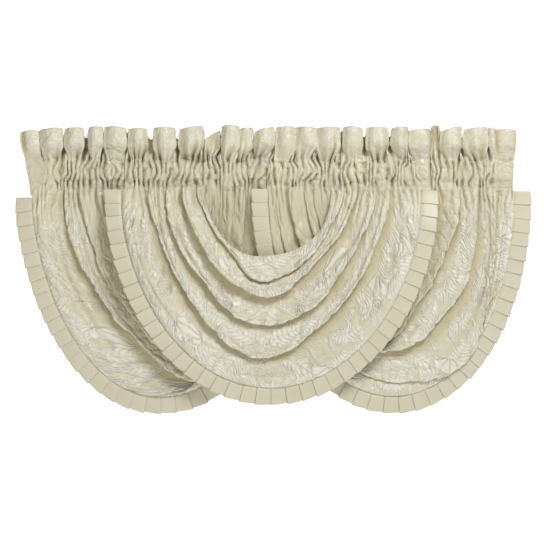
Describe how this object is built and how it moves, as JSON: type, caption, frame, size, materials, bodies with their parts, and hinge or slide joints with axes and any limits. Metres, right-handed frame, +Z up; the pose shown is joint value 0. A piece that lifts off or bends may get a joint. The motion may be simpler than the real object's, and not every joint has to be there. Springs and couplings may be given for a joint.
{
  "type": "waterfall swag valance",
  "caption": "Overlapping waterfall swags of ivory damask on shirred rod pockets with stand-up ruffles, edged with knife-pleated satin.",
  "frame": {"origin": "on the curtain rod's axis, halfway along the row of rod pockets", "axes": "+X along the rod to the viewer's right, -Y towards the room, +Z up"},
  "size_m": [1.3186, 0.079, 0.7332],
  "materials": {
    "damask": "relief-woven ivory damask with a soft satin sheen",
    "satin": "smooth plain satin"
  },
  "bodies": {
    "root": {"left_swag": "damask", "left_swag_trim": "satin", "left_swag_heading_left": "damask", "left_swag_heading_right": "damask", "right_swag": "damask", "right_swag_trim": "satin", "right_swag_heading_left": "damask", "right_swag_heading_right": "damask", "centre_swag": "damask", "centre_swag_trim": "satin", "centre_swag_heading_left": "damask", "centre_swag_heading_right": "damask"}
  },
  "joints": []
}
